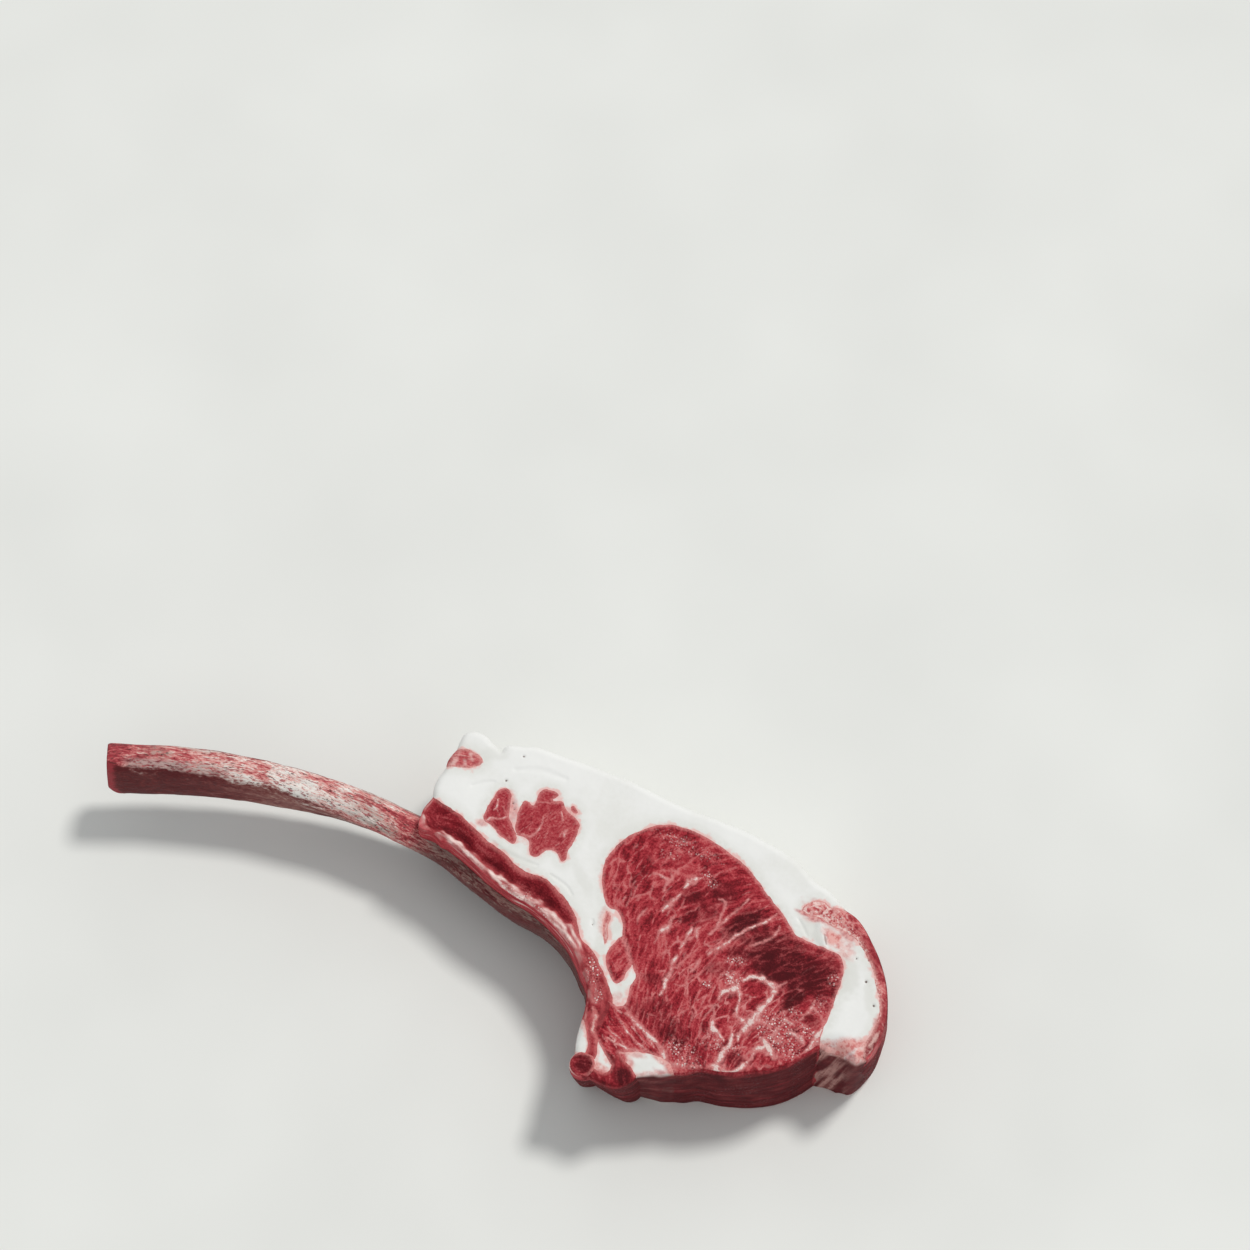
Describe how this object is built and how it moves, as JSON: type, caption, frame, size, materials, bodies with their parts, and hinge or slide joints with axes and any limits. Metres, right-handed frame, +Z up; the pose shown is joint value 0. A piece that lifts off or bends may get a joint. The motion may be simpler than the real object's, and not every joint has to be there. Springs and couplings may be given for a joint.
{
  "type": "frenched lamb rib chop",
  "caption": "Raw rib chop lying on its cut face: an oval eye muscle in a cap of white fat, with a long curved bare rib as a handle.",
  "frame": {"origin": "middle of the whole chop's box in plan, on the surface it lies on", "axes": "+X along the chop from the rib's cut end to the loin end, +Y across it to the fat-cap side, +Z up out of the upper cut face"},
  "size_m": [0.163, 0.0619, 0.022],
  "materials": {
    "muscle": "moist red lean meat with pale marbling",
    "dark_muscle": "moist dark red lean meat",
    "pale_muscle": "thin pink meat mixed with fat",
    "fat": "firm white fat with a soft sheen",
    "bone": "scraped rib bone, pink with pale streaks",
    "marrow": "dark red marrow in a pale rim"
  },
  "bodies": {
    "root": {"rib_bone": "bone", "chine_knob": "marrow", "fat_cap": "fat", "chine_fat": "fat", "seam_fat": "fat", "edge_fat": "fat", "eye_muscle": "muscle", "chine_muscle": "muscle", "inner_muscle": "muscle", "side_muscle_left": "muscle", "side_muscle_right": "muscle", "side_muscle_bit": "muscle", "rib_strip": "dark_muscle", "chine_end": "dark_muscle", "outer_layer": "pale_muscle", "tail_strip": "pale_muscle", "pink_sliver": "pale_muscle"}
  },
  "joints": []
}
